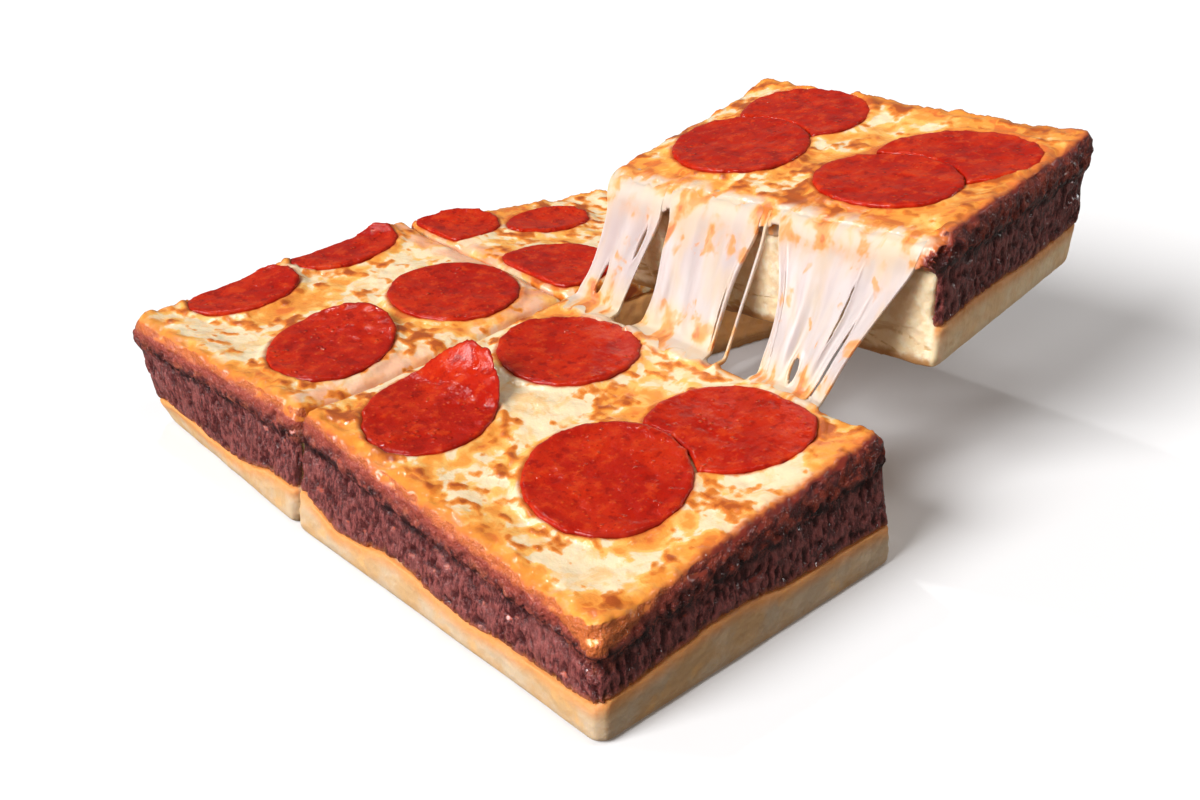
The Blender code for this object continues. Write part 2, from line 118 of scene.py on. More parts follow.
lamp("window", "SUN", (-0.95, 0.14, 0.74), (0.0, 0.0, 0.0), 30.0, 4.25)
lamp("low fill", "AREA", (-0.90, -0.06, 0.14), (0.0, 0.0, 0.05), 0.25, 1.0)
lamp("overhead", "AREA", (0.05, -0.25, 1.1), (0.0, 0.0, 0.0), 0.25, 1.4)
lamp("glint", "AREA", (0.10, 0.62, 0.95), (0.0, 0.0, 0.02), 0.04, 1.6)
lamp("front glint", "AREA", (0.86, -0.62, 0.24), (0.0, 0.0, 0.02), 0.08, 1.5)
lamp("crest glint", "AREA", (0.76, -0.33, 0.60), (0.0, 0.0, 0.05), 0.05, 0.4)
lamp("left glint", "AREA", (-0.72, 0.72, 0.34), (0.0, 0.0, 0.02), 0.05, 1.5)

# Bread slices
# Thick pan-baked dough, pale and open where it was cut, smooth where it touched the pan, browned
# underneath. Each slice's solid is copied, refined, and roughened into crumb.

BREAD_FACES = 0.0009                       # size of the faces that the bread is rebuilt from
ORIGIN = Vector((-0.1006, -0.1011, 0.0))   # the near outer corner, in the frame
# Each slice's four corners in turn, in mm from there: its top with the heights, its base, and which
# sides, from the one between the first two corners, were baked against the pan. The lifted slice's
# corners are those of the slice lying down.
SLICES = {
    "front": {
        "top": ((-0.6, 0.0, 29.0), (100.9, 1.7, 37.2), (98.8, 120.6, 34.5), (2.8, 118.4, 35.0)),
        "bottom": ((-1.4, -1.0), (102.4, -1.6), (99.2, 120.8), (-0.9, 121.3)),
        "baked": (True, False, False, True),
    },
    "left": {
        "top": ((3.0, 119.3, 34.0), (99.4, 121.6, 34.0), (98.7, 201.4, 33.0), (-0.4, 203.4, 31.5)),
        "bottom": ((-0.9, 122.2), (99.5, 121.7), (99.0, 192.0), (4.0, 194.5)),
        "baked": (False, False, True, True),
    },
    "back": {
        "top": ((100.3, 121.4, 34.0), (182.0, 117.6, 30.0), (168.0, 180.0, 27.0), (99.9, 200.0, 32.0)),
        "bottom": ((100.4, 119.0), (180.0, 100.0), (165.0, 172.0), (100.3, 191.5)),
        "baked": (False, True, True, False),
    },
    "raised": {
        "top": ((0.0, -0.3, 38.4), (78.2, -1.2, 36.6), (77.0, 114.0, 36.2), (0.0, 113.0, 36.5)),
        "bottom": ((0.0, 4.6), (71.6, 4.0), (72.0, 113.0), (0.0, 113.0)),
        "baked": (True, True, False, False),
    },
}
# How the lifted slice is raised and turned from lying down
LIFT = Matrix.Translation((0.1283, 0.0043, 0.0429)) @ Euler(
    (math.radians(-4.27), math.radians(-3.75), math.radians(6.19)), "XYZ").to_matrix().to_4x4()


def own_copy(node, name):
    """The fixed solid's own merged copy, which a piece is made from."""
    bpy.ops.object.select_all(action="DESELECT")
    source = frame["nodes"][node]
    source.hide_viewport = False
    source.select_set(True)
    bpy.context.view_layer.objects.active = source
    bpy.ops.object.duplicate()
    piece = bpy.context.object
    piece.name = name
    piece.data.name = name
    piece.parent = None
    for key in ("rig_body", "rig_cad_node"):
        if key in piece:
            del piece[key]
    piece.data.materials.clear()
    bpy.ops.object.mode_set(mode="EDIT")
    bpy.ops.mesh.select_all(action="SELECT")
    bpy.ops.mesh.remove_doubles(threshold=0.00002)
    bpy.ops.object.mode_set(mode="OBJECT")
    return piece


def settle(piece, modifier):
    """Make a modifier's result the piece's own mesh."""
    bpy.context.view_layer.objects.active = piece
    bpy.ops.object.modifier_apply(modifier=modifier.name)


def refine(piece, voxel, smooth):
    """Rebuild a body from small even faces and soften its edges."""
    grain = piece.modifiers.new("grain", "REMESH")
    grain.mode = "VOXEL"
    grain.voxel_size = voxel
    settle(piece, grain)
    soften = piece.modifiers.new("soften", "SMOOTH")
    soften.factor = 0.5
    soften.iterations = smooth
    settle(piece, soften)
    bpy.ops.object.shade_smooth()


def points_of(piece):
    """The places of a piece's points, one row each."""
    flat = np.empty(len(piece.data.vertices) * 3, np.float32)
    piece.data.vertices.foreach_get("co", flat)
    return flat.reshape(-1, 3).astype(float)


def keep(piece, name, values):
    """Store one number or one vector a point, for the materials."""
    values = np.asarray(values, np.float32)
    kind = "FLOAT_VECTOR" if values.ndim == 2 else "FLOAT"
    layer = piece.data.attributes.new(name, kind, "POINT")
    layer.data.foreach_set("vector" if values.ndim == 2 else "value", values.ravel())


def slice_plan(name):
    """A slice's corners at the top and underneath, and its mean width and depth, in mm."""
    top = np.array(SLICES[name]["top"], float)
    bottom = np.array(SLICES[name]["bottom"], float)
    width = (np.linalg.norm(top[1, :2] - top[0, :2]) + np.linalg.norm(top[2, :2] - top[3, :2])) / 2
    depth = (np.linalg.norm(top[3, :2] - top[0, :2]) + np.linalg.norm(top[2, :2] - top[1, :2])) / 2
    return top, bottom, width, depth


def spread(corners, s, t):
    """Values between those at four corners, at shares of the way across and along."""
    low = corners[0] + (corners[1] - corners[0]) * s[:, None]
    high = corners[3] + (corners[2] - corners[3]) * s[:, None]
    return low + (high - low) * t[:, None]


def slice_places(piece, name):
    """Each point in its slice's own square, in mm: across, along, up, share of the slice's height, and
    how far it is in from the closest baked side and from the closest cut one."""
    points = points_of(piece) - np.array(ORIGIN)
    if name == "raised":
        turn = np.array(LIFT.inverted())
        points = points @ turn[:3, :3].T + turn[:3, 3]
    points = points * 1000.0
    top, bottom, width, depth = slice_plan(name)
    s = np.full(len(points), 0.5)
    t = np.full(len(points), 0.5)
    rounds = 14    # the sides lean, so the shares are found by trial and correction
    for _ in range(rounds):
        level = spread(top[:, 2:3], s, t)[:, 0]
        share = points[:, 2] / level
        here = spread(bottom, s, t) * (1.0 - share[:, None]) + spread(top[:, :2], s, t) * share[:, None]
        s += (points[:, 0] - here[:, 0]) / width
        t += (points[:, 1] - here[:, 1]) / depth
    across, along = s * width, t * depth
    gaps = (along, width - across, depth - along, across)
    sides = SLICES[name]["baked"]
    baked = np.minimum.reduce([gap for gap, at_pan in zip(gaps, sides) if at_pan])
    cut = np.minimum.reduce([gap for gap, at_pan in zip(gaps, sides) if not at_pan])
    return across, along, points[:, 2], share, baked, cut


def noise_push(piece, label, kind, size, strength, group=None, **settings):
    """Move points in and out by a procedural texture, in the piece's own space."""
    texture = bpy.data.textures.new(label, kind)
    texture.noise_scale = size
    for key, value in settings.items():
        setattr(texture, key, value)
    step = piece.modifiers.new(label, "DISPLACE")
    step.texture = texture
    step.texture_coords = "LOCAL"
    step.strength = strength
    step.mid_level = 0.5
    if group:
        step.vertex_group = group
    settle(piece, step)


def mask(piece, name, weights, levels=60):
    """A vertex group from one weight a point, rounded to a number of levels."""
    group = piece.vertex_groups.new(name=name)
    nearest_level = np.clip(np.round(np.asarray(weights) * levels), 0, levels).astype(int)
    for level in range(1, levels + 1):
        chosen = np.nonzero(nearest_level == level)[0]
        if len(chosen):
            group.add(chosen.tolist(), level / levels, "REPLACE")


def ramp01(value, start, end):
    """Smooth 0 to 1 between two values."""
    x = np.clip((value - start) / (end - start), 0.0, 1.0)
    return x * x * (3.0 - 2.0 * x)


def paint(name):
    """A new material with its shader and tree."""
    material = bpy.data.materials.new(name)
    material.use_nodes = True
    tree = material.node_tree
    return material, tree, tree.nodes["Principled BSDF"]


def attribute(tree, name, output="Fac"):
    """What keep stored under a name."""
    made = tree.nodes.new("ShaderNodeAttribute")
    made.attribute_name = name
    return made.outputs[output]


def band(tree, value, start, end, low=0.0, high=1.0):
    """A number taken from one range to another, with soft ends."""
    made = tree.nodes.new("ShaderNodeMapRange")
    made.interpolation_type = "SMOOTHSTEP"
    for index, number in enumerate((start, end, low, high), 1):
        made.inputs[index].default_value = number
    tree.links.new(value, made.inputs[0])
    return made.outputs[0]


def math_node(tree, operation, first, second=0.0):
    """One sum on two values, each a socket or a number."""
    made = tree.nodes.new("ShaderNodeMath")
    made.operation = operation
    for index, value in enumerate((first, second)):
        if isinstance(value, (int, float)):
            made.inputs[index].default_value = value
        else:
            tree.links.new(value, made.inputs[index])
    return made.outputs[0]


def plus(tree, first, second):
    return math_node(tree, "ADD", first, second)


def minus(tree, first, second):
    return math_node(tree, "SUBTRACT", first, second)


def times(tree, first, second):
    return math_node(tree, "MULTIPLY", first, second)


def noise_of(tree, place, scale, detail, roughness=0.55, distortion=0.0):
    """Smooth noise over the places, round 0.5."""
    made = tree.nodes.new("ShaderNodeTexNoise")
    made.inputs["Scale"].default_value = scale
    made.inputs["Detail"].default_value = detail
    made.inputs["Roughness"].default_value = roughness
    made.inputs["Distortion"].default_value = distortion
    tree.links.new(place, made.inputs["Vector"])
    return made.outputs["Fac"]


def stretched(tree, place, scale):
    """Places scaled by axis, which draws a pattern out where the number is small."""
    made = tree.nodes.new("ShaderNodeMapping")
    made.inputs["Scale"].default_value = scale
    tree.links.new(place, made.inputs["Vector"])
    return made.outputs["Vector"]


def tint(tree, share, first, second):
    """Mix two colours, each a socket or three numbers."""
    made = tree.nodes.new("ShaderNodeMix")
    made.data_type = "RGBA"
    tree.links.new(share, made.inputs[0])
    for index, colour in ((6, first), (7, second)):
        if isinstance(colour, tuple):
            made.inputs[index].default_value = (*colour, 1.0)
        else:
            tree.links.new(colour, made.inputs[index])
    return made.outputs[2]


def bump(tree, shader, height, strength, distance, before=None):
    """Fine relief on a shader, on top of the relief that came before."""
    made = tree.nodes.new("ShaderNodeBump")
    made.inputs["Strength"].default_value = strength
    made.inputs["Distance"].default_value = distance
    tree.links.new(height, made.inputs["Height"])
    if before is not None:
        tree.links.new(before, made.inputs["Normal"])
    tree.links.new(made.outputs["Normal"], shader.inputs["Normal"])
    return made.outputs["Normal"]


# The bread's colours: crumb, baked skin, what browned or soaked in, and painted shade and light
CRUMB = (0.94, 0.82, 0.60)
CRUMB_WHEAT = (0.92, 0.73, 0.48)
CRUMB_DIP_PAINTED_SHADE = (0.88, 0.68, 0.42)
TEAR_PAINTED_SHADE = (0.64, 0.42, 0.19)
AMBER_PAINTED_SHADE = (0.80, 0.36, 0.09)
SKIN = (0.61, 0.455, 0.30)
SKIN_LIFTED_PAINTED_LIGHT = (0.94, 0.72, 0.46)
TAN = (0.60, 0.37, 0.18)
TAN_LIFTED_PAINTED_LIGHT = (0.92, 0.62, 0.34)
FRECKLES = (0.76, 0.43, 0.16)
BURNT_BASE = (0.40, 0.18, 0.05)
SOAKED_FAT = (0.70, 0.26, 0.055)


def bread_material():
    """Crumb at the cuts, a baked skin outside, toasted underneath and soaked where cheese runs."""
    material, tree, shader = paint("pan bread")
    place = attribute(tree, "place", "Vector")
    height = attribute(tree, "height")
    baked = attribute(tree, "baked")
    near = attribute(tree, "near_cheese")
    patches = noise_of(tree, place, 70.0, 4.0)
    fine = noise_of(tree, place, 420.0, 3.0)

    # Open crumb, torn in layers low down, with painted shade in its dips and its tears
    crumb = tint(tree, band(tree, patches, 0.35, 0.7), CRUMB, CRUMB_WHEAT)
    crumb = tint(tree, band(tree, fine, 0.42, 0.62), CRUMB_DIP_PAINTED_SHADE, crumb)
    layers = noise_of(tree, stretched(tree, place, (0.30, 0.30, 1.3)), 120.0, 3.0, 0.5, 0.4)
    folds = math_node(tree, "ABSOLUTE", minus(tree, layers, 0.5))
    tear = band(tree, folds, 0.0, 0.045, 1.0, 0.0)
    tear = times(tree, tear, times(tree, band(tree, height, 16.0, 6.0), band(tree, fine, 0.35, 0.5)))
    # Painted shade in the tears, which the relief also sinks
    crumb = tint(tree, tear, crumb, TEAR_PAINTED_SHADE)
    # Painted warm shade on the back slice's cut face, seen deep between the drawn sheets
    crumb = tint(tree, times(tree, attribute(tree, "amber_painted_shade"), 0.9), crumb, AMBER_PAINTED_SHADE)

    # Baked skin with darker patches and freckles, and painted light that makes the lifted slice's skin
    # lighter
    light_skin = tint(tree, attribute(tree, "lifted_painted_light"), SKIN, SKIN_LIFTED_PAINTED_LIGHT)
    dark_skin = tint(tree, attribute(tree, "lifted_painted_light"), TAN, TAN_LIFTED_PAINTED_LIGHT)
    skin = tint(tree, band(tree, patches, 0.42, 0.62), light_skin, dark_skin)
    freckles = noise_of(tree, place, 110.0, 4.0)
    skin = tint(tree, band(tree, freckles, 0.56, 0.74, 0.0, 0.7), skin, FRECKLES)
    outside = band(tree, baked, 0.8, 2.6, 1.0, 0.0)
    colour = tint(tree, outside, crumb, skin)

    # Toasted at the base, and soaked with fat beside the cheese
    toast = plus(tree, height, times(tree, fine, 1.6))
    burnt = times(tree, band(tree, toast, 2.2, 5.0, 0.95, 0.0), band(tree, outside, 0.0, 1.0, 1.0, 0.16))
    colour = tint(tree, burnt, colour, BURNT_BASE)
    halo = plus(tree, near, times(tree, patches, 3.0))
    glow = times(tree, band(tree, halo, 1.4, 7.0, 1.0, 0.0), outside)
    colour = tint(tree, glow, colour, SOAKED_FAT)
    tree.links.new(colour, shader.inputs["Base Color"])

    # A soft, matt surface with the relief of crumb
    shader.inputs["Roughness"].default_value = 0.62
    shader.inputs["Subsurface Weight"].default_value = 0.45
    shader.inputs["Subsurface Radius"].default_value = (1.0, 0.7, 0.4)
    shader.inputs["Subsurface Scale"].default_value = 0.0035
    cells = tree.nodes.new("ShaderNodeTexVoronoi")
    cells.inputs["Scale"].default_value = 380.0
    tree.links.new(place, cells.inputs["Vector"])
    first = bump(tree, shader, fine, 0.45, 0.0007)
    second = bump(tree, shader, cells.outputs["Distance"], 0.35, 0.0006, first)
    torn = times(tree, tear, minus(tree, 1.0, outside))
    bump(tree, shader, minus(tree, 1.0, torn), 0.4, 0.0006, second)
    return material


offsets = {"front": 0.0, "left": 0.37, "back": 0.71, "raised": 1.13}


def pattern_place(name, across, along, height):
    """Places in metres for the materials, shifted so that each slice has a pattern of its own."""
    return np.stack([across / 1000.0 + offsets[name], along / 1000.0, height / 1000.0], 1)


bread = bread_material()
bread_pieces = {}
for name in SLICES:
    piece = own_copy(f"crust_{name}", f"bread_{name}")
    refine(piece, BREAD_FACES, smooth=3)
    _, _, height, _, baked_gap, cut_gap = slice_places(piece, name)
    cut_side = ramp01(cut_gap, 2.4, 0.6) * ramp01(height, 0.6, 2.0)
    mask(piece, "crumb", cut_side)
    mask(piece, "skin", ramp01(baked_gap, 3.0, 1.0) * (1.0 - cut_side) * ramp01(height, 0.8, 2.5))
    noise_push(piece, "crumb lumps", "CLOUDS", 0.008, 0.0009, "crumb", noise_depth=2)
    noise_push(piece, "crumb holes", "VORONOI", 0.0028, 0.0008, "crumb")
    noise_push(piece, "skin waves", "CLOUDS", 0.009, 0.0009, "skin", noise_depth=1)
    across, along, height, _, baked_gap, _ = slice_places(piece, name)
    keep(piece, "place", pattern_place(name, across, along, height))
    keep(piece, "height", height)
    keep(piece, "baked", baked_gap)
    # Painted warm shade on the back slice's cut face
    keep(piece, "amber_painted_shade", ramp01(along, 4.0, 1.0) * (name == "back"))
    # Painted light: the lifted slice's skin is lighter all over
    keep(piece, "lifted_painted_light", np.full(len(along), float(name == "raised")))
    piece.data.materials.append(bread)
    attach(piece, "root")
    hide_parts(f"crust_{name}")
    bread_pieces[name] = piece

# Baked cheese
# Melted cheese run over the bread and down the pan's walls, where it caramelised into a dark crust.
# Creamy on top with pools of orange oil and brown blisters, red-brown at the rim, pitted on the walls,
# and drawn out over the edge where the lifted slice still hangs on to the front one.

CHEESE_FACES = 0.00075    # size of the faces that the cheese is rebuilt from
# Each sheet of drawn cheese, in rows over its width: the place on the lifted slice's edge that a row
# leaves, and the place on the front slice's edge where it lands, in mm
SHEETS = (
    ((112.0, 118.6), (106.5, 114.5), (101.0, 108.8), (95.5, 103.6), (90.5, 99.6)),
    ((88.5, 92.0), (84.0, 87.5), (79.0, 83.0), (73.5, 77.5), (67.5, 72.0), (61.5, 67.0), (56.5, 63.0)),
    ((54.9, 59.2), (54.0, 58.4)),
    ((50.5, 47.5), (45.0, 44.8), (39.5, 41.5), (34.0, 38.2), (28.0, 35.0), (22.0, 32.0), (16.5, 29.4),
     (12.0, 28.0), (6.0, 23.6)),
)
LIP = 0.24    # share of a sheet's length at which it turns down over the lifted edge
# The way over the lifted edge: how far in from the edge, and how far above the slice's top
OVER_EDGE = ((12.0, -2.2), (7.0, -1.3), (3.0, -1.0), (-0.4, -2.1), (-2.7, -5.2), (-5.0, -10.0))
SAG = 3.0     # how far the drawn cheese hangs below a straight line, half way down
# How far the cheese runs on over the front slice, by the place where it lands
REACH = ((20.0, 56.0, 66.0, 120.0), (2.6, 2.8, 6.5, 7.5))
RUN_ON = ((0.30, 0.35), (0.75, -0.2), (1.0, -1.6))    # share of that reach, and height over the top
LIFT_MM = Matrix.Translation(LIFT.translation * 1000.0) @ LIFT.to_3x3().to_4x4()


def lifted(across, along, height):
    """Points over the lifted slice's top, from its own square, in mm from the near outer corner."""
    top, bottom, width, depth = slice_plan("raised")
    s, t = across / width, along / depth
    level = spread(top[:, 2:3], s, t)[:, 0]
    z = level + height
    share = (z / level)[:, None]
    plan = spread(bottom, s, t) * (1.0 - share) + spread(top[:, :2], s, t) * share
    points = np.concatenate([plan, z[:, None]], 1)
    turn = np.array(LIFT_MM)
    return points @ turn[:3, :3].T + turn[:3, 3]


def hanging(edge, landing, along):
    """Path of the drawn cheese: over the lifted edge, down, and on to the front slice's top."""
    zero = np.zeros_like(edge)
    rows = [lifted(zero + inwards, edge, zero + rise) for inwards, rise in OVER_EDGE]
    # The front slice's cut edge, which falls and draws in a little towards the back
    level = 37.2 - 2.7 * landing / 119.0
    front = np.stack([100.7 - 1.9 * landing / 120.0, landing, level], 1)
    # From under the lifted edge to just off the front one, bowed and swaying on the way
    start, finish = rows[-1], front + np.array([1.6, 0.0, 0.9])
    hops = 5
    for hop in range(1, hops):
        share = hop / hops
        spot = start + (finish - start) * share
        bow = math.sin(math.pi * share)
        spot[:, 0] += bow * (0.7 * np.sin(edge * 0.42 + hop * 0.4) - 1.0)
        spot[:, 2] -= SAG * bow
        rows.append(spot)
    rows.append(finish)
    reach = np.interp(landing, *REACH)
    for share, rise in RUN_ON:
        rows.append(front + np.stack([-reach * share, zero, zero + rise], 1))
    # A smooth curve through the rows, from one end to the other as along goes from 0 to 1
    place = np.clip(along, 0.0, 0.99999) * (len(rows) - 1)
    index = place.astype(int)
    rest = (place - index)[:, None]
    stack = np.stack([rows[0]] + rows + [rows[-1]])
    a, b, c, d = (stack[index + k, np.arange(len(edge))] for k in range(4))
    return 0.5 * (2 * b + (c - a) * rest + (2 * a - 5 * b + 4 * c - d) * rest ** 2
                  + (3 * b - a - 3 * c + d) * rest ** 3)


def mottle(places, size, octaves, stretch=(1.0, 1.0, 1.0)):
    """Smooth unevenness with features of a size in mm, about -1 to 1, one number a point."""
    scaled = np.asarray(places) / size * np.array(stretch)
    return np.array([noise.fractal(spot, 1.0, 2.0, octaves) for spot in scaled.tolist()])


def sheet_places(rows, number, a, b):
    """Points of a sheet at shares across it, a, and along it, b: its waist is drawn in and its borders
    are uneven."""
    keys = np.array(rows, float)
    spots = a * (len(keys) - 1)
    edge = np.interp(spots, np.arange(len(keys)), keys[:, 0])
    landing = np.interp(spots, np.arange(len(keys)), keys[:, 1])
    waist = 0.2 * np.sin(np.pi * ramp01(b, LIP, 0.9))
    drift = 0.012 * np.sin(b * 11.0 + number * 2.0) + 0.006 * np.sin(b * 27.0 + number)
    width = keys[0, 0] - keys[-1, 0]
    edge = edge + (keys[:, 0].mean() - edge) * waist + width * drift * ramp01(b, LIP, 0.4)
    landing = landing + (keys[:, 1].mean() - landing) * waist
    return hanging(edge, landing, b)


def closed_sheet(points, thick, open_points=None):
    """A sheet of the given thickness round a grid of points, closed at its borders and round its holes."""
    columns, rows = thick.shape
    side = np.gradient(points, axis=0)
    down = np.gradient(points, axis=1)
    normal = np.cross(side, down)
    normal /= np.linalg.norm(normal, axis=2, keepdims=True) + 1e-9
    front = points + normal * thick[..., None] / 2
    back = points - normal * thick[..., None] / 2
    open_cell = np.zeros((columns - 1, rows - 1), bool)
    if open_points is not None:
        open_cell = open_points[:-1, :-1] & open_points[1:, :-1] & open_points[:-1, 1:] & open_points[1:, 1:]
    verts = np.concatenate([front.reshape(-1, 3), back.reshape(-1, 3)])
    count = columns * rows
    faces = []
    for i in range(columns - 1):
        for j in range(rows - 1):
            if open_cell[i, j]:
                continue
            corners = (i * rows + j, (i + 1) * rows + j, (i + 1) * rows + j + 1, i * rows + j + 1)
            faces.append(corners)
            faces.append(tuple(c + count for c in reversed(corners)))
            for k, (di, dj) in enumerate(((0, -1), (1, 0), (0, 1), (-1, 0))):
                ni, nj = i + di, j + dj
                inside = 0 <= ni < columns - 1 and 0 <= nj < rows - 1
                if not inside or open_cell[ni, nj]:
                    first, second = corners[k], corners[(k + 1) % 4]
                    faces.append((second, first, first + count, second + count))
    mesh = bpy.data.meshes.new("sheet")
    mesh.from_pydata((verts / 1000.0 + np.array(ORIGIN)).tolist(), [], faces)
    sheet = bpy.data.objects.new("sheet", mesh)
    bpy.context.scene.collection.objects.link(sheet)
    bpy.ops.object.select_all(action="DESELECT")
    sheet.select_set(True)
    bpy.context.view_layer.objects.active = sheet
    bpy.ops.object.mode_set(mode="EDIT")
    bpy.ops.mesh.select_all(action="SELECT")
    bpy.ops.mesh.delete_loose()
    bpy.ops.mesh.select_all(action="SELECT")
    bpy.ops.mesh.normals_make_consistent(inside=False)
    bpy.ops.object.mode_set(mode="OBJECT")
    return sheet


def grid(columns, rows, low, high):
    """Shares across and along a sheet, for each point of a grid over all its width."""
    a, b = np.meshgrid(np.linspace(0.0, 1.0, columns), np.linspace(low, high, rows), indexing="ij")
    return a.ravel(), b.ravel()


def root_of(rows, number, low, high, thickest):
    """The thick end of a sheet, where it leaves the cheese or runs on to it."""
    columns, lines = max(4, round(abs(rows[0][0] - rows[-1][0]))), 16
    a, b = grid(columns, lines, low, high)
    points = sheet_places(rows, number, a, b)
    share = (b - low) / (high - low)
    if high > 0.9:
        share = 1.0 - share
    thick = thickest * (1.0 - 0.85 * share) * (0.3 + 0.7 * ramp01(share, 0.0, 0.3))
    thick *= 1.0 + 0.25 * np.sin(a * 19.0 + number)
    return closed_sheet(points.reshape(columns, lines, 3), thick.reshape(columns, lines))


def lip_band():
    """The cheese hanging a few mm over the whole of the lifted slice's edge, with a wavy hem."""
    columns, lines = 110, 14
    a, b = grid(columns, lines, 0.0, 1.0)
    edge = 112.5 - 111.5 * a
    landing = np.interp(edge, (6.0, 112.0), (23.6, 118.6))
    hem = 0.335 + 0.03 * np.sin(edge * 0.21) + 0.015 * np.sin(edge * 0.7 + 1.0)
    points = hanging(edge, landing, b * hem)
    thick = 2.4 * (0.3 + 0.7 * ramp01(b, 0.0, 0.3)) * (1.0 - 0.7 * b)
    thick *= ramp01(np.minimum(a, 1.0 - a), -0.02, 0.05)
    return closed_sheet(points.reshape(columns, lines, 3), thick.reshape(columns, lines))


def melt_in(piece, others):
    """Join soft ends to a cheese top before it is rebuilt as one body."""
    bpy.ops.object.select_all(action="DESELECT")
    for other in others:
        other.select_set(True)
    piece.select_set(True)
    bpy.context.view_layer.objects.active = piece
    bpy.ops.object.join()


def push_out(piece, label, distance, group):
    """Raise, or with a negative distance sink, the points of a vertex group along their normals."""
    step = piece.modifiers.new(label, "DISPLACE")
    step.strength = distance
    step.mid_level = 0.0
    step.vertex_group = group
    settle(piece, step)


def nearest(piece, others):
    """Distance in mm from each point to the closest of the given points."""
    tree = kdtree.KDTree(len(others))
    for index, point in enumerate(others):
        tree.insert(point, index)
    tree.balance()
    return np.array([tree.find(v.co)[2] for v in piece.data.vertices]) * 1000.0


def from_meat(piece, name):
    """Distance in mm from each point to the closest pepperoni on the same slice."""
    corners, faces = [], []
    for label, thing in frame["nodes"].items():
        if label.startswith(f"pepperoni_{name}_"):
            start = len(corners)
            corners += [vertex.co.copy() for vertex in thing.data.vertices]
            faces += [[start + index for index in face.vertices] for face in thing.data.polygons]
    tree = bvhtree.BVHTree.FromPolygons(corners, faces)
    return np.array([tree.find_nearest(vertex.co)[3] for vertex in piece.data.vertices]) * 1000.0


# Drawn cheese's colours: milky where thin, with painted mauve shade, still cream and browned at its ends
MILKY_PAINTED_SHADE = (0.50, 0.425, 0.42)
MILKY = (0.56, 0.485, 0.47)
DRAWN_CREAM = (0.60, 0.45, 0.32)
END_CREAM = (0.62, 0.49, 0.35)
END_ORANGE = (0.74, 0.38, 0.12)
DRAWN_ORANGE = (0.72, 0.27, 0.06)
DRAWN_BROWN = (0.52, 0.14, 0.028)


def drawn_colour(tree, flow, ends):
    """Thin drawn cheese: milky with painted mauve shade in its streaks, still cream, orange and brown at its
    ends.
    """
    streak = noise_of(tree, stretched(tree, flow, (1.0, 0.14, 1.0)), 210.0, 3.0, 0.5)
    broad = noise_of(tree, stretched(tree, flow, (1.0, 0.30, 1.0)), 105.0, 3.0)
    blots = noise_of(tree, stretched(tree, flow, (1.0, 0.66, 1.0)), 150.0, 3.0, 0.5, 0.3)
    # Painted mauve shade where the streaks dip, as the relief follows them
    colour = tint(tree, band(tree, streak, 0.36, 0.64), MILKY_PAINTED_SHADE, MILKY)
    colour = tint(tree, band(tree, broad, 0.46, 0.64, 0.0, 0.7), colour, DRAWN_CREAM)
    unpulled = tint(tree, band(tree, blots, 0.44, 0.58), END_CREAM, END_ORANGE)
    colour = tint(tree, times(tree, ends, band(tree, broad, 0.30, 0.62, 0.5, 1.0)), colour, unpulled)
    warm = plus(tree, blots, times(tree, ends, 0.09))
    colour = tint(tree, band(tree, warm, 0.60, 0.67, 0.0, 0.85), colour, DRAWN_ORANGE)
    colour = tint(tree, band(tree, warm, 0.67, 0.74, 0.0, 0.85), colour, DRAWN_BROWN)
    return colour, streak


# Baked cheese's colours: the top, its oil and spots, the rim, and the walls, with painted shade and sheen
CREAM = (0.82, 0.665, 0.43)
BUTTER = (0.83, 0.54, 0.25)
OIL_YELLOW = (0.86, 0.46, 0.12)
OIL_ORANGE = (0.80, 0.30, 0.050)
OIL_RED = (0.66, 0.165, 0.030)
FAT_SMEAR_AND_SHADE = (0.78, 0.40, 0.26)
SPOT_GOLD = (0.78, 0.29, 0.045)
SPOT_BROWN = (0.62, 0.17, 0.022)
SPOT_DARK = (0.40, 0.082, 0.014)
MEAT_STAIN = (0.52, 0.11, 0.024)
RIM_GOLD = (0.76, 0.27, 0.038)
RIM_BROWN = (0.60, 0.16, 0.036)
RIM_DARK = (0.38, 0.072, 0.040)
RIM_CHARRED = (0.20, 0.026, 0.016)
WALL = (0.070, 0.011, 0.012)
WALL_STREAKS_AND_SHEEN = (0.29, 0.072, 0.065)
WALL_PATCHES_AND_SHEEN = (0.34, 0.10, 0.09)
WALL_PIT_PAINTED_SHADE = (0.045, 0.005, 0.006)
CRUST = (0.13, 0.024, 0.022)
CRUST_RED = (0.30, 0.062, 0.046)
CRUST_BROWN = (0.42, 0.11, 0.058)
CREST_RED = (0.34, 0.064, 0.042)
CREST_ORANGE = (0.56, 0.14, 0.036)
CHARRED = (0.090, 0.013, 0.012)
CHARRED_RED = (0.34, 0.052, 0.026)
GROOVE_PAINTED_SHADE = (0.022, 0.004, 0.005)
WALL_HEM = (0.46, 0.13, 0.045)


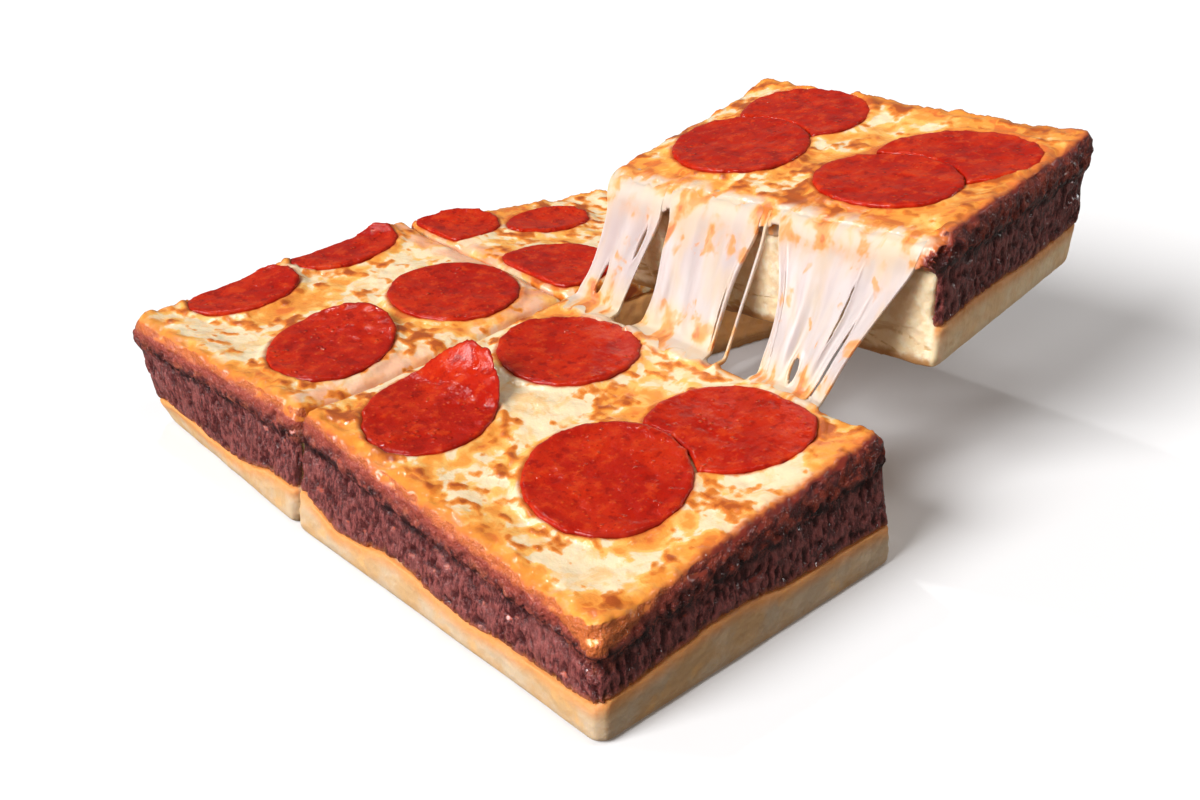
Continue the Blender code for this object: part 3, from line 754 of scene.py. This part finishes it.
def cheese_material():
    """The top with its oil, spots and drawn edges, the browned rim, and the dark pitted walls."""
    material, tree, shader = paint("baked cheese")
    place = attribute(tree, "place", "Vector")
    rim = attribute(tree, "baked")
    share = attribute(tree, "share")
    broad = noise_of(tree, place, 55.0, 3.0)
    middle = noise_of(tree, place, 150.0, 4.0, 0.6, 0.6)
    small = noise_of(tree, place, 300.0, 4.0, 0.6, 0.4)
    fine = noise_of(tree, place, 900.0, 3.0)

    # The flat top: cream, oil, fat, brown spots, and the stain round the meat
    cream = tint(tree, band(tree, middle, 0.46, 0.66), CREAM, BUTTER)
    oil = plus(tree, attribute(tree, "oil"), band(tree, middle, 0.3, 0.7, -0.35, 0.35))
    top = tint(tree, band(tree, oil, 0.0, 0.35), cream, OIL_YELLOW)
    top = tint(tree, band(tree, oil, 0.35, 0.85), top, OIL_ORANGE)
    top = tint(tree, band(tree, oil, 0.95, 1.45), top, OIL_RED)
    # A fat smear, and painted shade by the cuts where a slice dips below its neighbour
    top = tint(tree, times(tree, attribute(tree, "smear"), 0.8), top, FAT_SMEAR_AND_SHADE)
    scorch = plus(tree, attribute(tree, "scorch"), band(tree, small, 0.3, 0.7, -0.2, 0.2))
    top = tint(tree, band(tree, scorch, 0.05, 0.42, 0.0, 0.9), top, SPOT_GOLD)
    top = tint(tree, band(tree, scorch, 0.36, 0.70), top, SPOT_BROWN)
    top = tint(tree, band(tree, scorch, 0.72, 1.15), top, SPOT_DARK)
    meat = plus(tree, attribute(tree, "meat"), times(tree, small, 1.6))
    top = tint(tree, band(tree, meat, 0.9, 2.2, 0.85, 0.0), top, MEAT_STAIN)

    # Drawn cheese at the cut edges
    drawn, drawn_streak = drawn_colour(tree, attribute(tree, "flow", "Vector"), attribute(tree, "ends"))
    top = tint(tree, attribute(tree, "drape"), top, drawn)

    # The rim, from gold to nearly black
    char = attribute(tree, "char")
    lip = plus(tree, rim, times(tree, small, 3.0))
    lip = minus(tree, lip, times(tree, char, 1.7))
    lip = minus(tree, lip, band(tree, share, 0.94, 0.88, 0.0, 3.0))
    golden = times(tree, band(tree, lip, 3.8, 7.6, 0.85, 0.0), band(tree, char, 0.0, 1.0, 1.0, 0.25))
    top = tint(tree, golden, top, RIM_GOLD)
    top = tint(tree, band(tree, lip, 2.3, 4.6, 0.9, 0.0), top, RIM_BROWN)
    darkest = tint(tree, char, RIM_DARK, RIM_CHARRED)
    top = tint(tree, band(tree, lip, 1.1, 3.0, 1.0, 0.0), top, darkest)

    # The walls: streaks and pits below, a redder crust above, and a groove between them, with painted shade
    # and sheen
    streak_place = stretched(tree, place, (1.0, 1.0, 0.42))
    streak = noise_of(tree, streak_place, 900.0, 4.0, 0.7)
    streak_broad = noise_of(tree, streak_place, 170.0, 3.0)
    # The lighter streaks and greyer patches are partly the wall's colour and partly a painted sheen
    wall = tint(tree, band(tree, streak, 0.40, 0.62), WALL, WALL_STREAKS_AND_SHEEN)
    wall = tint(tree, band(tree, streak_broad, 0.42, 0.70, 0.0, 0.5), wall, WALL_PATCHES_AND_SHEEN)
    # Painted shade in the pits, which the relief also sinks
    wall = tint(tree, times(tree, attribute(tree, "pits"), 0.85), wall, WALL_PIT_PAINTED_SHADE)
    line = minus(tree, plus(tree, share, times(tree, broad, 0.12)), 0.06)
    upper = plus(tree, line, times(tree, small, 0.10))
    upper = minus(tree, upper, times(tree, char, 0.09))
    crust = tint(tree, band(tree, small, 0.40, 0.62), CRUST, CRUST_RED)
    crust = tint(tree, band(tree, middle, 0.50, 0.66), crust, CRUST_BROWN)
    wall = tint(tree, band(tree, upper, 0.80, 0.88), wall, crust)
    wall = tint(tree, band(tree, upper, 0.90, 0.99), wall, CREST_RED)
    wall = tint(tree, band(tree, upper, 0.99, 1.06), wall, CREST_ORANGE)
    scorched = tint(tree, band(tree, small, 0.42, 0.64), CHARRED, CHARRED_RED)
    wall = tint(tree, times(tree, char, band(tree, upper, 0.72, 0.82, 0.0, 0.9)), wall, scorched)
    # Painted shade along the groove under the crust
    crease = math_node(tree, "ABSOLUTE", minus(tree, line, 0.78))
    groove = times(tree, band(tree, crease, 0.012, 0.10, 1.0, 0.0), band(tree, small, 0.60, 0.42))
    wall = tint(tree, groove, wall, GROOVE_PAINTED_SHADE)
    edge = plus(tree, attribute(tree, "near_bread"), times(tree, small, 1.5))
    wall = tint(tree, band(tree, edge, 1.0, 3.2, 0.85, 0.0), wall, WALL_HEM)
    steep = plus(tree, attribute(tree, "steep"), band(tree, small, 0.3, 0.7, -0.25, 0.25))
    on_wall = band(tree, steep, 0.25, 0.75)
    tree.links.new(tint(tree, on_wall, top, wall), shader.inputs["Base Color"])

    # Fine relief, and a gloss that is wettest on the rim and the crust
    shader.inputs["Specular IOR Level"].default_value = 0.4
    shader.inputs["Subsurface Weight"].default_value = 0.2
    shader.inputs["Subsurface Radius"].default_value = (1.0, 0.5, 0.22)
    shader.inputs["Subsurface Scale"].default_value = 0.0012
    first = bump(tree, shader, small, 0.25, 0.0007)
    second = bump(tree, shader, fine, 0.4, 0.0003, first)
    rough = times(tree, minus(tree, streak, 0.5), on_wall)
    third = bump(tree, shader, rough, 0.9, 0.0010, second)
    bubbles = minus(tree, noise_of(tree, place, 950.0, 1.0), 0.5)
    wet = times(tree, on_wall, band(tree, upper, 0.72, 0.84, 0.35, 1.0))
    shiny = math_node(tree, "MAXIMUM", wet, band(tree, rim, 3.0, 7.0, 1.0, 0.0))
    gloss = band(tree, middle, 0.35, 0.8, 0.10, 0.25)
    gloss = times(tree, gloss, band(tree, shiny, 0.3, 0.9, 1.0, 0.7))
    tree.links.new(gloss, shader.inputs["Roughness"])
    third = bump(tree, shader, times(tree, bubbles, wet), 1.0, 0.0007, third)
    pulled = times(tree, drawn_streak, attribute(tree, "drape"))
    bump(tree, shader, pulled, 0.2, 0.0005, third)
    return material


cheese = cheese_material()
sheet_edges = np.array(sum(SHEETS, ()))[::-1]    # all the sheets' rows, from the near end to the back
oiliness = {"front": -0.12, "left": -0.10, "back": 0.05, "raised": 0.75}
spottiness = {"front": 0.12, "left": 0.16, "back": 0.22, "raised": 0.40}
charred_from = {"front": 14.0, "left": 900.0, "back": 900.0, "raised": -30.0}    # mm across; 900 is never
for name in SLICES:
    piece = own_copy(f"cheese_{name}", f"melt_{name}")
    if name == "raised":
        lip = lip_band()
        roots = [root_of(rows, k, low=0.0, high=0.36, thickest=2.5) for k, rows in enumerate(SHEETS)]
        melt_in(piece, [lip] + roots)
    if name == "front":
        roots = [root_of(rows, k, low=0.75, high=1.0, thickest=2.3) for k, rows in enumerate(SHEETS)]
        melt_in(piece, roots)
    refine(piece, CHEESE_FACES, smooth=3)
    across, along, height, share, baked_gap, _ = slice_places(piece, name)
    spots = np.stack([across + 1000.0 * offsets[name], along, height], 1)
    meat = from_meat(piece, name)

    # Where the cheese is drawn, its place in the flow, and how far it is still unpulled
    level = height / np.maximum(share, 0.05)
    flow_edge, flow_run = along, -across - np.minimum(height - level, 0.0)
    drape, ends = np.zeros(len(spots)), np.ones(len(spots))
    if name == "raised":
        reach = 3.0 + 4.5 * mottle(spots, 8.0, 2)
        drape = ramp01(flow_run, -reach - 2.5, -reach + 2.5) * ramp01(along, 0.0, 9.0)
        ends = ramp01(flow_run, 17.0, 2.0)
    if name == "front":
        past = across - (spots[:, 0].max() - 1000.0 * offsets[name] - 3.0)
        reach = np.interp(along, (20.0, 24.0, 56.0, 66.0, 118.0, 121.0), (0.0, 1.0, 1.5, 4.0, 5.0, 3.0))
        flow_edge = np.interp(along, sheet_edges[:, 1], sheet_edges[:, 0])
        flow_run = 60.0 - past
        drape = ramp01(past + reach + 2.0 * mottle(spots, 7.0, 2), -2.0, 1.5) * ramp01(along, 20.0, 25.0)

    # A pink smear of fat along the cuts of the left and back slices, clear of the meat, partly painted shade
    # The shade is painted where the left slice dips by the front one and the back slice by the left one
    smear = np.zeros(len(spots))
    if name == "left":
        smear = np.maximum(ramp01(along, 11.0, 7.0), ramp01(across, 88.0, 92.0))
    if name == "back":
        smear = ramp01(across, 9.0, 5.0)
    smear = smear * ramp01(mottle(spots, 9.0, 2), -0.6, 0.2) * ramp01(meat, 0.3, 1.5)

    # The walls that stood against the pan, the bubbled crown over them, and the flat top within it
    wall = ramp01(baked_gap, 1.9, 0.9) * ramp01(share, 0.98, 0.9)
    crown = ramp01(baked_gap, 7.0, 2.5) * ramp01(share, 0.9, 0.99) * (1.0 - wall)
    flat = ramp01(share, 0.93, 0.99) * (1.0 - wall) * (1.0 - crown)

    # Pools of oil, brown spots in clusters, and pits
    pools = mottle(spots + 90.0, 19.0, 2) + 0.6 * mottle(spots + 60.0, 5.5, 2)
    oil = oiliness[name] + 1.5 * pools + 0.45 * np.exp(-meat / 3.0) + 0.75 * ramp01(baked_gap, 10.0, 3.0)
    if name == "front":
        oil -= 0.9 * np.exp(-((across - 20.0) ** 2 + (along - 18.0) ** 2) / 80.0)
    clusters = mottle(spots + 40.0, 17.0, 2)
    scorch = 1.5 * mottle(spots, 4.2, 2, (1.0, 0.75, 1.0)) + 0.6 * mottle(spots + 20.0, 1.9, 1)
    scorch += 1.0 * clusters - 0.15 - 0.25 * drape - 0.6 * smear + spottiness[name]
    scorch = np.clip(scorch + 0.15 * ramp01(baked_gap, 13.0, 5.0), -0.5, 1.6)
    pits = ramp01(mottle(spots, 1.5, 2, (1.0, 1.0, 0.45)), 0.12, 0.36) * wall

    # Relief, coarse to fine
    mask(piece, "wall", wall)
    mask(piece, "crown", crown)
    mask(piece, "flat", flat * (1.0 - drape))
    mask(piece, "blister", ramp01(scorch, 0.3, 0.9) * flat * (1.0 - drape) * ramp01(meat, 0.4, 1.6))
    mask(piece, "pores", pits)
    mask(piece, "crust", ramp01(share, 0.78, 0.84) * wall)
    mask(piece, "meniscus", ramp01(meat, 3.0, 0.5) * ramp01(share, 0.9, 0.95))
    noise_push(piece, "lumps", "CLOUDS", 0.009, 0.0011, "flat", noise_depth=2)
    noise_push(piece, "curds", "CLOUDS", 0.0034, 0.0004, "flat", noise_depth=1)
    noise_push(piece, "rim bubbles", "CLOUDS", 0.0062, 0.0026, "crown", noise_depth=2)
    noise_push(piece, "rim grain", "CLOUDS", 0.0025, 0.0010, "crown", noise_depth=2)
    noise_push(piece, "wall folds", "CLOUDS", 0.008, 0.0014, "wall", noise_depth=2)
    noise_push(piece, "crust lumps", "CLOUDS", 0.0030, 0.0015, "crust", noise_depth=2)
    push_out(piece, "blisters", 0.0003, "blister")
    push_out(piece, "meniscus", 0.0008, "meniscus")
    push_out(piece, "pores", -0.0008, "pores")

    # What the material reads
    across, along, height, share, baked_gap, _ = slice_places(piece, name)
    upright = np.array([vertex.normal.z for vertex in piece.data.vertices])
    steep = ramp01(upright, 0.80, 0.35) * np.maximum(ramp01(baked_gap, 5.0, 3.0), ramp01(share, 0.8, 0.7))
    steep *= ramp01(baked_gap, 6.0, 4.0)
    char_start = charred_from[name]
    char = ramp01(across, char_start, char_start + 30.0) * ramp01(along, 12.0, 7.0)
    if name == "front":
        char -= 1.6 * np.exp(-(across ** 2 + along ** 2) / 130.0)
    keep(piece, "place", pattern_place(name, across, along, height))
    keep(piece, "flow", np.stack([flow_edge / 1000.0, flow_run / 1000.0, np.zeros(len(spots))], 1))
    stored = {
        "steep": steep, "baked": baked_gap, "share": share, "oil": oil, "scorch": scorch, "char": char,
        "meat": meat, "pits": pits, "drape": drape, "ends": ends, "smear": smear,
    }
    for label, values in stored.items():
        keep(piece, label, values)
    bread_piece = bread_pieces[name]
    bread_gap = slice_places(bread_piece, name)[4]
    outer = points_of(bread_piece)[bread_gap < 0.9]
    keep(piece, "near_bread", nearest(piece, outer))
    skirt = points_of(piece)[(baked_gap < 1.2) & (share < 0.7)]
    keep(bread_piece, "near_cheese", nearest(bread_piece, skirt))
    piece.data.materials.append(cheese)
    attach(piece, "root")
    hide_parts(f"cheese_{name}")

# Pepperoni
# Thin slices of cured red sausage, baked until the fat ran out: a darker rim, mottled red-orange meat
# and oil on top. Each follows the cheese where it lies, and some curl up at one side.

MEAT_FACES = 0.0006    # size of the faces that a slice is rebuilt from
# The meat's colours: the paste, its fat and grain, and the browned rim
MEAT = (0.37, 0.008, 0.0018)
MEAT_BRIGHT = (0.47, 0.019, 0.003)
MEAT_ORANGE = (0.54, 0.040, 0.006)
MEAT_DEEP = (0.27, 0.005, 0.0015)
MEAT_FAT = (0.66, 0.09, 0.016)
MEAT_GRAIN = (0.28, 0.006, 0.002)
MEAT_RIM = (0.30, 0.012, 0.006)


def pepperoni_material():
    """Mottled cured meat with specks of fat, greasy in patches."""
    material, tree, shader = paint("pepperoni")
    place = attribute(tree, "place", "Vector")
    inset = attribute(tree, "inset")
    broad = noise_of(tree, place, 70.0, 3.0)
    blots = noise_of(tree, place, 260.0, 4.0, 0.6)
    grain = noise_of(tree, place, 950.0, 3.0, 0.6)
    specks = tree.nodes.new("ShaderNodeTexVoronoi")
    specks.inputs["Scale"].default_value = 420.0
    tree.links.new(place, specks.inputs["Vector"])
    colour = tint(tree, band(tree, broad, 0.38, 0.64), MEAT, MEAT_BRIGHT)
    colour = tint(tree, band(tree, blots, 0.52, 0.66, 0.0, 0.7), colour, MEAT_ORANGE)
    colour = tint(tree, band(tree, blots, 0.46, 0.34, 0.0, 0.8), colour, MEAT_DEEP)
    colour = tint(tree, band(tree, specks.outputs["Distance"], 0.05, 0.22, 0.4, 0.0), colour, MEAT_FAT)
    colour = tint(tree, band(tree, grain, 0.40, 0.30, 0.0, 0.8), colour, MEAT_GRAIN)
    ring = plus(tree, inset, times(tree, blots, 1.4))
    colour = tint(tree, band(tree, ring, 0.9, 2.6, 0.75, 0.0), colour, MEAT_RIM)
    tree.links.new(colour, shader.inputs["Base Color"])
    patches = noise_of(tree, place, 120.0, 2.0)
    greasy = band(tree, patches, 0.50, 0.62)
    tree.links.new(band(tree, greasy, 0.0, 1.0, 0.24, 0.07), shader.inputs["Roughness"])
    shader.inputs["Subsurface Weight"].default_value = 0.12
    shader.inputs["Subsurface Radius"].default_value = (1.0, 0.15, 0.06)
    shader.inputs["Subsurface Scale"].default_value = 0.0012
    shader.inputs["Specular IOR Level"].default_value = 0.22
    first = bump(tree, shader, blots, 0.4, 0.0008)
    second = bump(tree, shader, grain, 0.25, 0.0002, first)
    dome = band(tree, specks.outputs["Distance"], 0.0, 0.40, 1.0, 0.0)
    bump(tree, shader, times(tree, dome, band(tree, greasy, 0.0, 1.0, 0.25, 1.0)), 0.9, 0.0003, second)
    return material


pepperoni = pepperoni_material()
meat_nodes = sorted(label for label in frame["nodes"] if label.startswith("pepperoni_"))
for number, label in enumerate(meat_nodes):
    piece = own_copy(label, label.replace("pepperoni", "salami"))
    refine(piece, MEAT_FACES, smooth=12)
    points = points_of(piece)
    centre = (points.min(0) + points.max(0)) / 2
    radius = np.linalg.norm((points - centre)[:, :2], axis=1)
    inset = (radius.max() - radius) * 1000.0
    noise_push(piece, "meat waves", "CLOUDS", 0.007, 0.0007, noise_depth=1)
    noise_push(piece, "meat grain", "CLOUDS", 0.0022, 0.0003, noise_depth=2)
    keep(piece, "place", points + number * 0.31)    # shifted, so that each has mottling of its own
    keep(piece, "inset", inset)
    piece.data.materials.append(pepperoni)
    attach(piece, "root")
    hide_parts(label)

# Stretched cheese
# Sheets and strings of melted cheese drawn out between the lifted slice and the front one: thick where
# they leave the cheese, thin and streaked in the middle, with slits where they tore.

PULL_SHARE = 0.41    # share of the rounded sheets' triangles that is kept
# Each slit: its sheet, its middle across and along, half its width and half its length, as shares
SLITS = (
    (0, 0.36, 0.64, 0.075, 0.085), (0, 0.84, 0.46, 0.045, 0.055),
    (1, 0.95, 0.62, 0.014, 0.12),
    (3, 0.10, 0.56, 0.012, 0.14), (3, 0.44, 0.70, 0.045, 0.055), (3, 0.66, 0.50, 0.010, 0.09),
    (3, 0.86, 0.70, 0.026, 0.19),
)


def drawn_sheet(rows, number):
    """One sheet, pleated along its length, rolled at its borders, and torn where it has slits."""
    width = abs(rows[0][0] - rows[-1][0])
    columns, lines = max(9, 4 * round(width)), 72
    a, b = grid(columns, lines, 0.10, 0.94)
    points = sheet_places(rows, number, a, b)

    # Rolled borders and a few soft ridges in the middle, and thicker again at both ends
    from_edge = np.minimum(a, 1.0 - a) * width * 0.8
    middle = ramp01(b, 0.29, 0.52) * ramp01(b, 0.82, 0.64)
    thick = 0.50 + min(0.75, 0.3 * width) * np.exp(-(from_edge / 0.7) ** 2) * middle
    ridges = round(width / 9.0)
    for k in range(ridges):
        centre = (k + 0.5) / ridges + 0.05 * math.sin(k * 2.3 + number) + 0.03 * np.sin(b * 5.0 + k)
        size = 0.06 + 0.10 * abs(math.sin(k * 1.7 + number * 2.1))
        thick = thick + size * np.exp(-(((a - centre) * width) / 1.3) ** 2) * middle
    thick = thick + 0.75 * (1.0 - middle)

    # Slits with a thicker rim
    hole = np.full_like(thick, 9.0)
    for which, across, along, half_a, half_b in SLITS:
        if which == number:
            lean = (b - along) * 0.12
            hole = np.minimum(hole, ((a - across - lean) / half_a) ** 2 + ((b - along) / half_b) ** 2)
    thick = thick + 0.45 * np.exp(-((np.sqrt(hole) - 1.2) / 0.25) ** 2)

    # Pleats
    pleat = 0.40 * np.sin(a * width * 0.8 + 2.0 * np.sin(b * 3.0 + number) + number) * middle
    points = points + np.stack([pleat, pleat * 0.0, pleat * 0.5], 1)
    return closed_sheet(points.reshape(columns, lines, 3), thick.reshape(columns, lines),
                        (hole < 1.0).reshape(columns, lines))


def drawn_material():
    """The same drawn cheese as at the edges, thin enough for light to come through."""
    material, tree, shader = paint("stretched cheese")
    flow = attribute(tree, "flow", "Vector")
    ends = attribute(tree, "ends")
    colour, streak = drawn_colour(tree, flow, ends)
    tree.links.new(colour, shader.inputs["Base Color"])
    tree.links.new(band(tree, streak, 0.3, 0.7, 0.30, 0.45), shader.inputs["Roughness"])
    shader.inputs["Subsurface Weight"].default_value = 0.85
    shader.inputs["Subsurface Radius"].default_value = (1.0, 0.85, 0.8)
    shader.inputs["Subsurface Scale"].default_value = 0.003
    bump(tree, shader, streak, 0.25, 0.0005)
    return material


sheets = [drawn_sheet(rows, number) for number, rows in enumerate(SHEETS)]
pull = sheets[0]
melt_in(pull, sheets[1:])
pull.name = "stretched_cheese"
rounding = pull.modifiers.new("round", "SUBSURF")
rounding.levels = 1
rounding.render_levels = 1
settle(pull, rounding)
thinning = pull.modifiers.new("thin out", "DECIMATE")
thinning.ratio = PULL_SHARE
settle(pull, thinning)
bpy.ops.object.shade_smooth()

# Each point's place in the flow: its place on the lifted edge, and how far it has run from there
points = (points_of(pull) - np.array(ORIGIN)) * 1000.0
lip_line = lifted(np.zeros(3), np.array([0.0, 56.0, 112.0]), np.zeros(3))
run = np.linalg.norm(points - np.stack([np.interp(points[:, 1], lip_line[:, 1], lip_line[:, k])
                                        for k in range(3)], 1), axis=1)
low_share = ramp01(points[:, 2], 62.0, 42.0)
edge = np.interp(points[:, 1], sheet_edges[:, 1], sheet_edges[:, 0]) * low_share
edge = edge + (points[:, 1] - lip_line[0, 1]) * (1.0 - low_share)
keep(pull, "flow", np.stack([edge / 1000.0, run / 1000.0, np.zeros(len(points))], 1))
keep(pull, "ends", ramp01(run, 17.0, 2.0) + ramp01(points[:, 2], 47.0, 38.0))
pull.data.materials.append(drawn_material())
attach(pull, "root")
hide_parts("cheese_pull")
